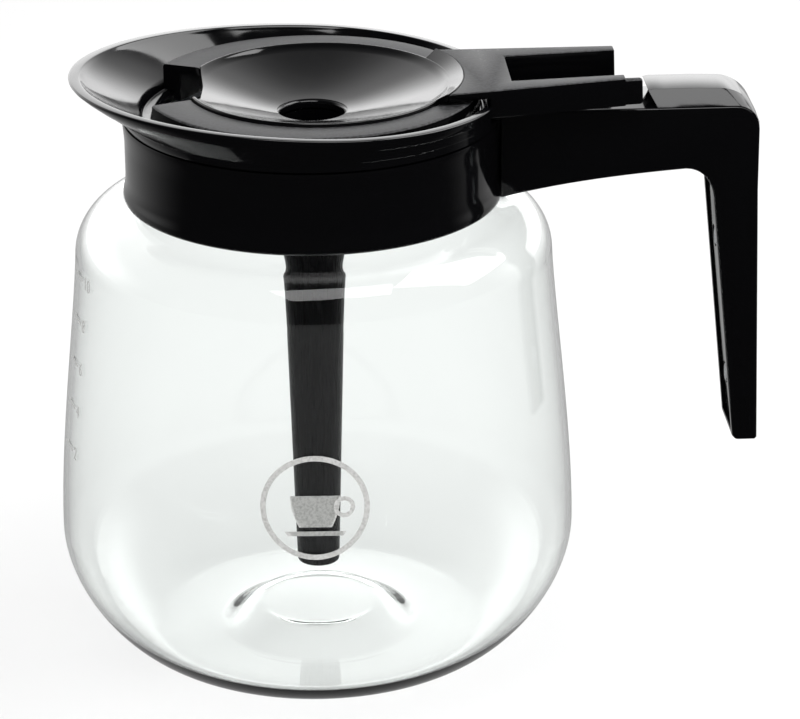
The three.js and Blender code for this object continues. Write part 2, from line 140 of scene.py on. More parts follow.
def pick(piece, kind, wanted):
    """In edit mode, selects the parts whose middle passes a test."""
    bpy.ops.mesh.select_mode(type=kind)
    bpy.ops.mesh.select_all(action="DESELECT")
    mesh = bmesh.from_edit_mesh(piece.data)
    parts = {"VERT": mesh.verts, "EDGE": mesh.edges, "FACE": mesh.faces}[kind]
    for part in parts:
        corners = [part] if kind == "VERT" else part.verts
        middle = sum((v.co for v in corners), Vector()) / len(corners)
        if wanted(from_axis(middle)):
            part.select_set(True)
    mesh.select_flush_mode()
    bmesh.update_edit_mesh(piece.data)


# %% Turned and raised pieces
def turn(name, section, steps=144, start=0.0, sweep=360.0):
    """Spins a section of (radius, height) points about the jug's axis, clockwise from a start."""
    piece = draw_line(name, [at(r, 0, z) for r, z in section])
    if start:
        bpy.ops.transform.rotate(
            value=-math.radians(start), orient_axis="Z", center_override=at(0, 0, 0)
        )
    turning = {"angle": math.radians(sweep), "center": at(0, 0, 0), "axis": (0, 0, 1)}
    bpy.ops.mesh.spin(steps=steps, **turning)
    close_mesh()
    close_piece()
    return piece


def ring_section(points):
    """The same section, closed on itself."""
    return [*points, points[0]]


def raise_plan(name, plan, low, high):
    """Fills a closed plan of (x, y) points and draws it up from one height to another."""
    piece = draw_line(name, [at(x, y, low) for x, y in ring_section(plan)])
    bpy.ops.mesh.remove_doubles(threshold=TINY)
    bpy.ops.mesh.edge_face_add()
    lift = {"value": Vector((0, 0, (high - low) * MM))}
    bpy.ops.mesh.extrude_region_move(TRANSFORM_OT_translate=lift)
    close_mesh()
    close_piece()
    return piece


def widen_side(name, outline, near, far):
    """Fills a closed side outline of (x, z) points and draws it along Y from near to far."""
    piece = draw_line(name, [at(x, near, z) for x, z in ring_section(outline)])
    bpy.ops.mesh.remove_doubles(threshold=TINY)
    bpy.ops.mesh.edge_face_add()
    across = {"value": Vector((0, (far - near) * MM, 0))}
    bpy.ops.mesh.extrude_region_move(TRANSFORM_OT_translate=across)
    close_mesh()
    close_piece()
    return piece


# %% [markdown]
# Modifiers do the work of the bench: a boolean cuts one piece with another, and a bevel takes the
# sharpness off moulded edges. Each is applied at once, so the mesh is the real shape.

# %% Cutting, joining and easing edges
LOOKS_UP = 0.45  # a face whose normal rises more than this is on top


def apply_modifier(piece, kind, **settings):
    """Adds a modifier with its settings and makes its result the piece's mesh."""
    leave_all()
    bpy.context.view_layer.objects.active = piece
    piece.select_set(True)
    modifier = piece.modifiers.new(kind.title(), kind)
    for name, value in settings.items():
        setattr(modifier, name, value)
    bpy.ops.object.modifier_apply(modifier=modifier.name)
    return piece


def cut(piece, *cutters, operation="DIFFERENCE"):
    """Cuts a piece with others, or joins them to it, and removes the others."""
    for cutter in cutters:
        apply_modifier(piece, "BOOLEAN", operation=operation, object=cutter, solver="EXACT")
        bpy.data.objects.remove(cutter)
    return piece


def ease_edges(piece, width, angle=40, segments=3):
    """Rounds every edge that turns by more than an angle, by a width in millimetres."""
    rounding = {"width": width * MM, "segments": segments, "limit_method": "ANGLE"}
    return apply_modifier(piece, "BEVEL", angle_limit=math.radians(angle), **rounding)


def hand_over(piece, body, finish, slot, *nodes, smooth=35, sides=None):
    """Fixes the piece's place in its mesh, gives its finish, and puts it on its body.

    Sides is the finish of the faces that don't look up, where it differs.
    """
    leave_all()
    bpy.context.view_layer.objects.active = piece
    piece.select_set(True)
    bpy.ops.object.transform_apply(location=True, rotation=True, scale=True)
    bpy.ops.object.shade_smooth_by_angle(angle=math.radians(smooth))
    piece.data.materials.clear()
    piece.data.materials.append(finish)
    if sides:
        piece.data.materials.append(sides)
        for face in piece.data.polygons:
            face.material_index = 0 if face.normal.z > LOOKS_UP else 1
    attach(piece, body)
    if nodes:
        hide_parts(*nodes)
    print(piece.name, len(piece.data.polygons), "faces on", body)
    return piece


# %% [markdown]
# Colours are written as on a colour card and turned to linear light by one function. One helper
# adds a node with its settings and links.

# %% Colours and nodes
def linear(card):
    """A colour written as #rrggbb, as linear light with full cover."""
    shares = [int(card[i : i + 2], 16) / 255 for i in (1, 3, 5)]
    light = [s / 12.92 if s <= 0.04045 else ((s + 0.055) / 1.055) ** 2.4 for s in shares]
    return (*light, 1.0)


def add_node(finish, kind, settings=None, links=None):
    """Adds one node. Settings are its properties or inputs; links join inputs to outputs."""
    node = finish.node_tree.nodes.new(kind)
    for name, value in (settings or {}).items():
        if hasattr(node, str(name)):
            setattr(node, name, value)
        else:
            node.inputs[name].default_value = value
    for name, output in (links or {}).items():
        finish.node_tree.links.new(output, node.inputs[name])
    return node


def new_finish(name, **shader):
    """A material with one surface shader. Returns the material, its shader and its place node."""
    finish = bpy.data.materials.new(name)
    finish.use_nodes = True
    surface = finish.node_tree.nodes["Principled BSDF"]
    for socket, value in shader.items():
        surface.inputs[socket.replace("_", " ")].default_value = value
    place = add_node(finish, "ShaderNodeTexCoord").outputs["Object"]
    return finish, surface, place


def per_metre(size):
    """How many times a pattern of this size in millimetres repeats in a metre."""
    return 1 / (size * MM)


def join(finish, output, socket):
    """Links an output to a socket that stands beside others of the same name, or to the shader."""
    finish.node_tree.links.new(output, socket)


print("the mouldings' black as linear light:", linear("#050506")[:3])

# %% [markdown]
# **Polished black polypropylene.** Collar, pouring rim, handle and funnel come from polished steel
# moulds. The eye sees a deep black with clear reflections that waver a little, because the plastic
# shrinks unevenly as it cools. The waver is a very shallow bump about 9 mm long, and handling
# leaves the gloss slightly uneven, in patches of 4 mm.

# %% Polished black polypropylene
polished_black, surface, place = new_finish(
    "polished_black_polypropylene", Base_Color=linear("#050506"), Roughness=0.09, IOR=1.49
)
sink = add_node(
    polished_black, "ShaderNodeTexNoise", {"Scale": per_metre(9), "Detail": 1.0}, {"Vector": place}
)
handling = add_node(
    polished_black, "ShaderNodeTexNoise", {"Scale": per_metre(4), "Detail": 4.0}, {"Vector": place}
)
gloss = add_node(
    polished_black,
    "ShaderNodeMapRange",
    {"From Min": 0.35, "From Max": 0.75, "To Min": 0.07, "To Max": 0.13},
    {"Value": handling.outputs["Fac"]},
)
waver = add_node(
    polished_black,
    "ShaderNodeBump",
    {"Strength": 0.25, "Distance": 0.05 * MM},
    {"Height": sink.outputs["Fac"]},
)
join(polished_black, gloss.outputs["Result"], surface.inputs["Roughness"])
join(polished_black, waver.outputs["Normal"], surface.inputs["Normal"])
print(polished_black.name)

# %% [markdown]
# **Spark-eroded black.** The top of the lid was moulded against steel that was textured by sparks.
# Its grain is about 0.2 mm; it is drawn at 1.1 mm, with finer detail on it, so that it shows. The
# eye sees a dry, dark grey speckle. The grain's tops are a bump and are coloured lighter, as painted
# light, with painted shade in the hollows; the tops are a little rougher than the hollows.
# Only the upper faces have it; hand_over gives the sides a polish.

# %% Spark-eroded black
spark_black, surface, place = new_finish(
    "spark_eroded_black_polypropylene",
    Base_Color=linear("#222223"),
    Roughness=0.5,
    IOR=1.49,
    Specular_IOR_Level=0.35,
)
grain = add_node(
    spark_black,
    "ShaderNodeTexNoise",
    {"Scale": per_metre(1.1), "Detail": 3.0, "Roughness": 0.75},
    {"Vector": place},
)
# Painted light and shade: the grain's tops are coloured lighter and its hollows darker, following the
# bump's height.
painted_grain_shade = add_node(spark_black, "ShaderNodeValToRGB", links={"Fac": grain.outputs["Fac"]})
painted_grain_shade.color_ramp.elements[0].position = 0.42
painted_grain_shade.color_ramp.elements[0].color = linear("#0b0b0c")
painted_grain_shade.color_ramp.elements[1].position = 0.6
painted_grain_shade.color_ramp.elements[1].color = linear("#3c3c3e")
pitting = add_node(
    spark_black,
    "ShaderNodeBump",
    {"Strength": 0.7, "Distance": 0.06 * MM},
    {"Height": grain.outputs["Fac"]},
)
dryness = add_node(
    spark_black,
    "ShaderNodeMapRange",
    {"From Min": 0.35, "From Max": 0.65, "To Min": 0.42, "To Max": 0.62},
    {"Value": grain.outputs["Fac"]},
)
join(spark_black, painted_grain_shade.outputs["Color"], surface.inputs["Base Color"])
join(spark_black, pitting.outputs["Normal"], surface.inputs["Normal"])
join(spark_black, dryness.outputs["Result"], surface.inputs["Roughness"])
print(spark_black.name)

# %% [markdown]
# **Satin black.** The mixing tube comes from a mould that was only sandpapered along its length, so
# its shine is soft and drawn out into faint upright lines, about 0.8 mm apart. The shine is weak as
# well, which keeps the tube deep black behind the glass.

# %% Satin black
satin_black, surface, place = new_finish(
    "satin_black_polypropylene",
    Base_Color=linear("#040405"),
    Roughness=0.26,
    IOR=1.49,
    Specular_IOR_Level=0.05,
)
drawn = add_node(satin_black, "ShaderNodeMapping", {"Scale": (1, 1, 0.03)}, {"Vector": place})
lines = add_node(
    satin_black,
    "ShaderNodeTexNoise",
    {"Scale": per_metre(0.8), "Detail": 2.0},
    {"Vector": drawn.outputs["Vector"]},
)
brushed = add_node(
    satin_black,
    "ShaderNodeMapRange",
    {"From Min": 0.3, "From Max": 0.7, "To Min": 0.2, "To Max": 0.34},
    {"Value": lines.outputs["Fac"]},
)
ridges = add_node(
    satin_black,
    "ShaderNodeBump",
    {"Strength": 0.3, "Distance": 0.02 * MM},
    {"Height": lines.outputs["Fac"]},
)
join(satin_black, brushed.outputs["Result"], surface.inputs["Roughness"])
join(satin_black, ridges.outputs["Normal"], surface.inputs["Normal"])
print(satin_black.name)

# %% [markdown]
# **Borosilicate glass.** The vessel is blown in a turning mould, which leaves it clear, polished by
# fire, and very slightly wavy: soft swells about 30 mm long that bend what is seen through them.
# Its reflections are set weaker than the textbook's, so that they stay a faint veil over the tube.

# %% Borosilicate glass
borosilicate, surface, place = new_finish(
    "blown_borosilicate_glass",
    Base_Color=linear("#fcfefd"),
    Roughness=0.0,
    IOR=1.47,
    Specular_IOR_Level=0.07,
    Transmission_Weight=1.0,
)
swell = add_node(
    borosilicate, "ShaderNodeTexNoise", {"Scale": per_metre(30), "Detail": 1.0}, {"Vector": place}
)
blown = add_node(
    borosilicate,
    "ShaderNodeBump",
    {"Strength": 0.1, "Distance": 0.05 * MM},
    {"Height": swell.outputs["Fac"]},
)
join(borosilicate, blown.outputs["Normal"], surface.inputs["Normal"])
print(borosilicate.name)

# %% [markdown]
# **Fired grey enamel.** Marks on such glass are screen printed and fired. The ink lies thin and
# slightly rough, with paler and darker spots where the screen's mesh left it thicker or thinner.
# The spots are about 0.3 mm on real ware and are drawn at 0.6 mm so that they show.

# %% Fired grey enamel
fired_enamel, surface, place = new_finish(
    "fired_grey_enamel", Base_Color=linear("#b9b9b7"), Roughness=0.45, IOR=1.5
)
mesh_marks = add_node(
    fired_enamel, "ShaderNodeTexNoise", {"Scale": per_metre(0.6), "Detail": 2.0}, {"Vector": place}
)
ink = add_node(fired_enamel, "ShaderNodeValToRGB", links={"Fac": mesh_marks.outputs["Fac"]})
ink.color_ramp.elements[0].position = 0.3
ink.color_ramp.elements[0].color = linear("#a6a6a4")
ink.color_ramp.elements[1].position = 0.6
ink.color_ramp.elements[1].color = linear("#c6c6c4")
join(fired_enamel, ink.outputs["Color"], surface.inputs["Base Color"])
print(fired_enamel.name)

# %% [markdown]
# **Hidden pieces.** The silicone sleeve and seal are dull and slightly dusty. The split ring is
# drawn spring steel, with lines along the wire, and the screws are zinc plated, with the cloudy
# patches that plating leaves. They show at the edges of the collar and when the lid is off.

# %% Silicone, spring steel and zinc plate
silicone, surface, place = new_finish(
    "moulded_silicone", Base_Color=linear("#3b3b3b"), Roughness=0.7, IOR=1.41
)
dust = add_node(
    silicone, "ShaderNodeTexNoise", {"Scale": per_metre(1.5), "Detail": 4.0}, {"Vector": place}
)
bloom = add_node(silicone, "ShaderNodeValToRGB", links={"Fac": dust.outputs["Fac"]})
bloom.color_ramp.elements[0].color = linear("#2e2e2e")
bloom.color_ramp.elements[1].color = linear("#4b4b4a")
join(silicone, bloom.outputs["Color"], surface.inputs["Base Color"])


def plated_steel(name, card, size, low, high):
    """A metal whose roughness wanders between two values in patches of a size in millimetres."""
    finish, surface, place = new_finish(
        name, Base_Color=linear(card), Metallic=1.0, Roughness=(low + high) / 2
    )
    cloud = add_node(
        finish, "ShaderNodeTexNoise", {"Scale": per_metre(size), "Detail": 3.0}, {"Vector": place}
    )
    spread = add_node(
        finish,
        "ShaderNodeMapRange",
        {"To Min": low, "To Max": high},
        {"Value": cloud.outputs["Fac"]},
    )
    join(finish, spread.outputs["Result"], surface.inputs["Roughness"])
    return finish


spring_steel = plated_steel("drawn_spring_steel", "#8e9094", 0.4, 0.2, 0.5)
zinc_plate = plated_steel("zinc_plated_steel", "#a9abae", 1.2, 0.15, 0.4)
for nodes, finish in (
    (("neck_sleeve", "rim_seal"), silicone),
    (("split_ring",), spring_steel),
    (("root_screw", "grip_screw_upper", "grip_screw_lower"), zinc_plate),
):
    for name in nodes:
        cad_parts[name].data.materials.clear()
        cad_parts[name].data.materials.append(finish)
print("finishes:", len(bpy.data.materials))

# %% [markdown]
# ## The glass vessel
# Blown glass has an even wall and no sharp edge. Both sides of the wall are drawn in one closed
# section, because light bends on the way in and again on the way out, so a shell without
# thickness would not look like glass. Seen from the side the foot turns up into the belly in a
# flattened curve, the flank narrows gently upward, and a round shoulder turns into the straight
# neck. Two pulls say how far the foot's curve runs flat and how far it runs upright.

# %% The vessel's section and its turning
WALL = 1.5
FLOOR = 2.2
FOOT, BELLY, BELLY_Z = 44.0, 70.0, 34.0
FOOT_PULL, SIDE_PULL = 10.0, 16.0
SHOULDER, SHOULDER_Z, BEND = 63.8, 112.0, 13.3
NECK, NECK_Z, LIP_Z = 46.0, 130.0, 147.8
DIMPLE_FLAT, DIMPLE_EDGE, DIMPLE = 15.0, 28.0, 6.0


def dimple(thickness, steps=16):
    """The S-shaped side of the dimple in the floor, from its flat top to the standing ring."""
    points = []
    for i in range(steps + 1):
        radius = DIMPLE_FLAT + (DIMPLE_EDGE - DIMPLE_FLAT) * i / steps
        rise = DIMPLE * (1 + math.cos(math.pi * i / steps)) / 2
        points.append((radius, rise + thickness))
    return points


def flank(inward, rise):
    """Foot, side and shoulder, moved inward by the wall's thickness."""
    centre = SHOULDER - BEND
    wide = BELLY - inward
    belly = (wide, BELLY_Z)
    below_belly = (wide, BELLY_Z - SIDE_PULL)
    foot = curve((FOOT, rise), (FOOT + FOOT_PULL, rise), below_belly, belly, 32)
    low, high = foot[-1], (SHOULDER - inward, SHOULDER_Z)
    side = curve(low, (low[0], 58), (high[0] + 0.9, 95), high, 14)[1:-1]
    bend = arc((centre, SHOULDER_Z), BEND - inward, 0, 78, 16)
    over, top = bend[-1]
    neck = NECK - inward
    up = curve((over, top), (over - 3, top + 0.7), (neck, 127), (neck, NECK_Z), 8)
    return [*foot, *side, *bend, *up[1:]]


glass_section = [
    (0, DIMPLE),
    *dimple(0),
    *flank(0, 0),
    (NECK, LIP_Z - 3.2),
    *arc((NECK, LIP_Z - 1.6), (0.9, 1.6), -60, 60, 6),
    *arc((NECK - WALL / 2, LIP_Z - 0.5), (WALL / 2, 0.5), 30, 150, 6),
    *reversed(flank(WALL, FLOOR)),
    *reversed(dimple(FLOOR)),
    (0, DIMPLE + FLOOR),
]
vessel = turn("vessel", glass_section, steps=160)
hand_over(vessel, "jug", borosilicate, "borosilicate_glass", "glass_vessel", smooth=60)
vessel.visible_shadow = False  # clear glass of this wall hardly dims the light behind it

# %% [markdown]
# ## The neck band
# A waisted plastic band is clamped round the neck. It is a turned piece with a rounded lower edge
# and a shallow step near its top. The lug that the handle screws to is a small block, joined to it.

# %% The neck band
band_section = ring_section(
    [
        (47.5, 128.0),
        (49.6, 128.0),
        *arc((49.75, 128.75), 0.75, -80, 0, 5),
        *curve((50.45, 129.6), (50.1, 131.4), (49.75, 132), (49.7, 134.5), 8),
        (49.7, 142.6),
        *curve((49.7, 143.4), (49.75, 145.5), (50.05, 147.5), (50.15, 149.2), 6),
        (50.05, 149.7),
        (48.9, 149.75),
        (48.9, 142.9),
        (47.5, 142.9),
    ]
)
band = turn("collar_band", band_section)
lug_plan = [(49.2, -6.5), (63, -6.5), (63, 6.5), (49.2, 6.5)]
lug = ease_edges(raise_plan("lug", lug_plan, 136, 146), 0.5)
screw_hole = raise_plan("hole", arc((57, 0), 1.8, 0, 345, 23), 130, 150)
cut(lug, screw_hole)
cut(band, lug, operation="UNION")
hand_over(band, "jug", polished_black, "black_gloss", "neck_band")

# %% [markdown]
# ## The pouring rim
# The rim is a turned ring whose flare is drawn out toward the spout. It is spun round first. Then
# each ring of vertices, from the base to the lip, is widened on the spout's side and tipped a
# little, more and more with height, so that the lip rises to the spout as the real one does.

# %% The rim's section
RIM_BASE, RIM_TOP = 151.0, 158.8
SPOUT_STRETCH = 63.9 / 51.0 - 1
SPOUT_TIP = math.atan(0.042)
rim_section = [
    (42, 149.0),
    (48, 149.0),
    (48, 150.1),
    (49.9, 150.1),
    (50.1, 150.3),
    (50.1, 152.2),
    (50.3, 152.5),
    (50.4, 155.4),
    (50.6, 155.7),
    (50.75, 157.0),
    (50.95, 157.9),
    *arc((50.55, 158.35), 0.45, 0, 90, 4),
    (49.2, 158.8),
    *arc((48.9, 158.3), 0.5, 90, 140, 3),
    *curve((48.3, 158.2), (47.2, 156.6), (46.4, 155.0), (45.6, 152.8), 10),
    *curve((45.4, 152.3), (45.1, 151.8), (44.9, 151.4), (44.9, 150.9), 4),
    (44.9, 150.2),
    *arc((44.6, 150.2), 0.3, 0, -90, 3),
    (42.3, 149.9),
    (42, 149.7),
]
rim = turn("pouring_rim", ring_section(rim_section), steps=192)


# %% Drawing the flare out to the spout
def rings_of(piece, section):
    """For each point of a section, the numbers of the vertices that were spun from it."""
    rings = [[] for _ in section]
    for vertex in piece.data.vertices:
        place = from_axis(vertex.co)
        here = (math.hypot(place.x, place.y), place.z)
        gaps = [math.dist(here, point) for point in section]
        rings[gaps.index(min(gaps))].append(vertex.index)
    return rings


def select_numbers(piece, numbers, wanted):
    """In edit mode, selects these vertices where a test on their place passes."""
    bpy.ops.mesh.select_mode(type="VERT")
    bpy.ops.mesh.select_all(action="DESELECT")
    mesh = bmesh.from_edit_mesh(piece.data)
    mesh.verts.ensure_lookup_table()
    for number in numbers:
        if wanted(from_axis(mesh.verts[number].co)):
            mesh.verts[number].select_set(True)
    mesh.select_flush_mode()
    bmesh.update_edit_mesh(piece.data)


def smoothly(value, low, high):
    """How far a value has come from low to high, from 0 to 1, with soft ends."""
    share = min(max((value - low) / (high - low), 0), 1)
    return share * share * (3 - 2 * share)


rim_rings = rings_of(rim, rim_section)
open_piece(rim)
for (_, height), numbers in zip(rim_section, rim_rings):
    share = smoothly(height, RIM_BASE, RIM_TOP)
    if share == 0:
        continue
    middle = at(0, 0, height)
    select_numbers(rim, numbers, lambda place: place.x < -0.01)
    bpy.ops.transform.resize(value=(1 + SPOUT_STRETCH * share, 1, 1), center_override=middle)
    select_numbers(rim, numbers, lambda place: True)
    bpy.ops.transform.rotate(value=-SPOUT_TIP * share, orient_axis="Y", center_override=middle)
close_piece()
spout = min((from_axis(v.co) for v in rim.data.vertices), key=lambda place: place.x)
print("the spout reaches", [round(c, 1) for c in spout])

# %% The gap that the tongue passes through
SADDLE_HALF, SADDLE_START, SADDLE_FLOOR = 21.5, 36.9, 151.4
saddle_plan = [
    (SADDLE_START, -SADDLE_HALF),
    (55, -SADDLE_HALF),
    (55, SADDLE_HALF),
    (SADDLE_START, SADDLE_HALF),
]
saddle = raise_plan("saddle", saddle_plan, SADDLE_FLOOR, 162)
cut(rim, ease_edges(saddle, 0.8))
hand_over(rim, "jug", polished_black, "black_gloss", "pour_rim")

# %% [markdown]
# ## The handle
# The handle is a channel moulding: an outer shell with thin walls, open toward the fingers, and a
# strip that closes it there. The side outline is drawn once, filled and drawn across; the channel
# is cut out of it, and the band's roundness is cut from its root so that it sits against the
# collar. The closing strip lies half a millimetre deeper than the shell's edges, which leaves the
# two dark edges that run down the real grip. Two screws hold it, so the strip has a round hole for
# the head of each, and the shell has a boss for each to bite into.

# %% The handle's outline
HALF_WIDTH = 10.0
HANDLE_WALL = 2.2
UNDERSIDE = curve((46, 126.9), (62, 131.2), (80, 133.2), (98.5, 134.5), 14)
GRIP_INSIDE = curve((98.5, 134.5), (103.2, 134.4), (106.0, 130.5), (106.3, 125), 10)[1:]
GRIP_FOOT_INNER, GRIP_FOOT_OUTER, GRIP_FOOT_Z = 113.1, 119.9, 55.8
OUTER_CORNER = arc((111.4, 145.1), 6.5, 0, 90, 8)
shell_outline = [
    *UNDERSIDE,
    *GRIP_INSIDE,
    (GRIP_FOOT_INNER, GRIP_FOOT_Z + 1.2),
    (GRIP_FOOT_INNER + 1, GRIP_FOOT_Z),
    (GRIP_FOOT_OUTER - 0.6, GRIP_FOOT_Z),
    (GRIP_FOOT_OUTER, GRIP_FOOT_Z + 0.6),
    (117.95, 128),
    *OUTER_CORNER,
    (46, 151.6),
]
shell = widen_side("handle_channel", shell_outline, -HALF_WIDTH, HALF_WIDTH)
ease_edges(shell, 0.7, angle=50)

# %% The channel and the curved root
channel_outline = [
    (44, 122),
    (60, 126),
    (96, 130),
    (102, 122),
    (108, GRIP_FOOT_Z + HANDLE_WALL),
    (GRIP_FOOT_OUTER - HANDLE_WALL, GRIP_FOOT_Z + HANDLE_WALL),
    (115.8, 128),
    *arc((111.4, 145.1), 4.3, 0, 90, 8),
    (44, 149.4),
]
room = widen_side("room", channel_outline, HANDLE_WALL - HALF_WIDTH, HALF_WIDTH - HANDLE_WALL)
collar_round = turn("collar_round", [(0, 120), (50.4, 120), (50.4, 160), (0, 160)])
cut(shell, room, collar_round)

# %% The bosses for the grip's screws
SCREW_HEIGHTS = (112, 72)
BOSS, BOSS_START, BOSS_END = 3.4, 4.4, 117.5
GRIP_TOP_INNER, GRIP_TOP_Z = GRIP_INSIDE[-1]


def bar(name, radius, start, end, height):
    """A round bar along X at a height: turned upright about the jug's axis, then laid down."""
    piece = turn(name, [(0, start), (radius, start), (radius, end), (0, end)], steps=24)
    open_piece(piece)
    bpy.ops.transform.rotate(value=-math.pi / 2, orient_axis="Y", center_override=at(0, 0, 0))
    bpy.ops.transform.translate(value=(0, 0, height * MM))
    close_piece()
    reach = sum(from_axis(v.co).x for v in piece.data.vertices) / len(piece.data.vertices)
    print(name, "has its middle", round(reach, 1), "mm from the jug's axis")
    return piece


def grip_face(height):
    """Where the finger side of the grip is, at a height."""
    share = (GRIP_TOP_Z - height) / (GRIP_TOP_Z - GRIP_FOOT_Z)
    return GRIP_TOP_INNER + share * (GRIP_FOOT_INNER - GRIP_TOP_INNER)


for height in SCREW_HEIGHTS:
    boss = bar("boss", BOSS, grip_face(height) + BOSS_START, BOSS_END, height)
    cut(shell, boss, operation="UNION")
hand_over(shell, "jug", polished_black, "black_gloss", "handle_shell")

# %% The strip that closes the channel
RECESS, STRIP = 0.5, 2.4
SCREW_HOLE, SCREW_HOLE_START, SCREW_HOLE_END = 3.1, -3, 3.1
slim = HALF_WIDTH - HANDLE_WALL - 0.12
inner_line = [*UNDERSIDE, *GRIP_INSIDE, (GRIP_FOOT_INNER, GRIP_FOOT_Z + 3.4)]


def set_in(line, depth):
    """The same line moved toward the inside of the handle by a depth."""
    moved = []
    for i, (x, z) in enumerate(line):
        before, after = line[max(i - 1, 0)], line[min(i + 1, len(line) - 1)]
        run = math.dist(before, after)
        along = (after[0] - before[0]) / run
        rising = (after[1] - before[1]) / run
        moved.append((x - rising * depth, z + along * depth))
    return moved


strip_outline = [*set_in(inner_line, RECESS), *reversed(set_in(inner_line, RECESS + STRIP))]
strip = widen_side("handle_strip", strip_outline, -slim, slim)
collar_round = turn("collar_round", [(0, 120), (50.5, 120), (50.5, 160), (0, 160)])
root_bore = raise_plan("root_bore", arc((57, 0), 3.1, 0, 345, 23), 120, 131)
cut(ease_edges(strip, 0.25, angle=50), collar_round, root_bore)
for height in SCREW_HEIGHTS:
    face = grip_face(height)
    start, end = face + SCREW_HOLE_START, face + SCREW_HOLE_END
    cut(strip, bar("screw_hole", SCREW_HOLE, start, end, height))
hand_over(strip, "jug", polished_black, "black_gloss", "handle_liner")

# %% [markdown]
# ## The thumb cap
# The cap has a flat crown between two sloping sides, a slanted front face, and it thins out round
# the handle's corner. Four lines of equal length are drawn, two along its foot and two along its
# crown, and bridged into a skin. A short ramp, made the same way with its top half a millimetre
# below the crown, leads up to the cap from the tongue's side.

# %% The thumb cap
CROWN, CROWN_HALF, CORNER_STEPS = 155.8, 6.2, 12
FOOT_START, FOOT_END, FOOT_Z = 90.6, 111.4, 151.75
CROWN_START, CROWN_END = 89.9, 107.4
foot_line = [(FOOT_START + (FOOT_END - FOOT_START) * i / 6, FOOT_Z) for i in range(6)]
foot_line += arc((FOOT_END, 145.1), 6.65, 90, 14, CORNER_STEPS)
crown_line = [(CROWN_START + (CROWN_END - CROWN_START) * i / 6, CROWN) for i in range(5)]
crown_line.insert(0, (88.4, CROWN - 0.3))
crown_line += arc((CROWN_END, 145.2), (10.5, 10.4), 90, 8, CORNER_STEPS)
cap_lines = (
    (foot_line, -HALF_WIDTH + 0.2),
    (crown_line, -CROWN_HALF),
    (crown_line, CROWN_HALF),
    (foot_line, HALF_WIDTH - 0.2),
)


def skin_over(name, lines):
    """Draws lines of (x, z) points, each at its own Y, joins them and bridges each to the next."""
    drawn = [draw_line(name, [at(x, y, z) for x, z in line]) for line, y in lines]
    leave_all()
    for line in drawn:
        line.select_set(True)
    bpy.context.view_layer.objects.active = drawn[0]
    bpy.ops.object.join()
    piece = bpy.context.object
    bpy.ops.object.mode_set(mode="EDIT")
    levels = [y for _, y in lines]
    for near, far in zip(levels, [*levels[1:], levels[0]]):
        pick(piece, "EDGE", lambda place: min(abs(place.y - near), abs(place.y - far)) < 0.01)
        bpy.ops.mesh.bridge_edge_loops()
    bpy.ops.mesh.select_mode(type="EDGE")
    bpy.ops.mesh.select_all(action="DESELECT")
    bpy.ops.mesh.select_non_manifold()
    bpy.ops.mesh.fill_holes(sides=0)
    close_mesh()
    close_piece()
    return piece


# %% The cap and its ramp
cap = skin_over("thumb_cap", cap_lines)
ease_edges(cap, 0.45, angle=25)
ramp_foot, ramp_crown = [(84.6, 151.7), (92, 151.7)], [(87.9, 155.3), (92, 155.3)]
ramp_lines = (
    (ramp_foot, -HALF_WIDTH + 0.5),
    (ramp_crown, -CROWN_HALF + 0.3),
    (ramp_crown, CROWN_HALF - 0.3),
    (ramp_foot, HALF_WIDTH - 0.5),
)
ramp = ease_edges(skin_over("ramp", ramp_lines), 0.4, angle=25)
cut(cap, ramp, operation="UNION")
hand_over(cap, "jug", polished_black, "black_gloss", "handle_cap")

# %% [markdown]
# ## The lid ring
# The ring is turned with rounded edges. Its opening sits 2 mm nearer the handle than its outside,
# so the inner vertices are moved over. The pouring notch is a pocket with rounded corners, cut
# straight through, and a second cut makes room for the tongue's root.

# %% The lid ring
MOUTH, MOUTH_SHIFT = 35.1, 2.0
ring_profile = [
    *arc((MOUTH + 0.65, 157.05), 0.35, 180, 90, 4),
    *arc((43.75, 156.75), 0.65, 90, 0, 5),
    (44.4, 150.6),
    (44.1, 150.25),
    (41.5, 150.2),
    (41.5, 147.8),
    (41.3, 147.5),
    (39.5, 147.5),
    (39.5, 155.0),
    (MOUTH + 0.3, 155.0),
]
lid_ring = turn("lid_ring_top", ring_section(ring_profile), steps=192)
open_piece(lid_ring)
pick(lid_ring, "VERT", lambda place: math.hypot(place.x, place.y) < MOUTH + 1.2)
bpy.ops.transform.translate(value=(MOUTH_SHIFT * MM, 0, 0))
close_piece()


def notch_cutter():
    """The pouring notch: an inner wall that bows slightly, rounded corners, flaring sides."""
    back = arc((-32.0, 14.9), 3.2, 20, 75, 6)
    front = arc((-32.4, -7.2), 3.2, -75, -20, 6)
    plan = [*front, (-28.5, 4), *back, (-53, 27.2), (-53, -18.6)]
    return raise_plan("notch", plan, 146, 162)


tongue_room = raise_plan("room", [(30.2, -21), (47, -20), (47, 20), (30.2, 21)], 157.0, 162)
cut(lid_ring, notch_cutter(), tongue_room)
hand_over(lid_ring, "lid", spark_black, "black_matte", "lid_ring", sides=polished_black)

# %% [markdown]
# ## The funnel
# The dish is shallow and a little oblique: its hole is on the axis and its mouth is moved 2 mm
# toward the handle. It is turned about the axis, and then each ring of vertices is moved over by
# its share. Under the tongue the dish goes on upward as a raised lip.

# %% The funnel's dish
HOLE, HOLE_Z, DISH_TOP, DISH_WALL = 8.5, 149.5, 158.2, 1.6


def dish_height(radius):
    """How high the dish's upper side is at a radius; it steepens outward a little."""
    share = (radius - HOLE) / (MOUTH - 2 - HOLE)
    return HOLE_Z + 0.9 + (DISH_TOP - 1.9 - HOLE_Z) * share**1.25


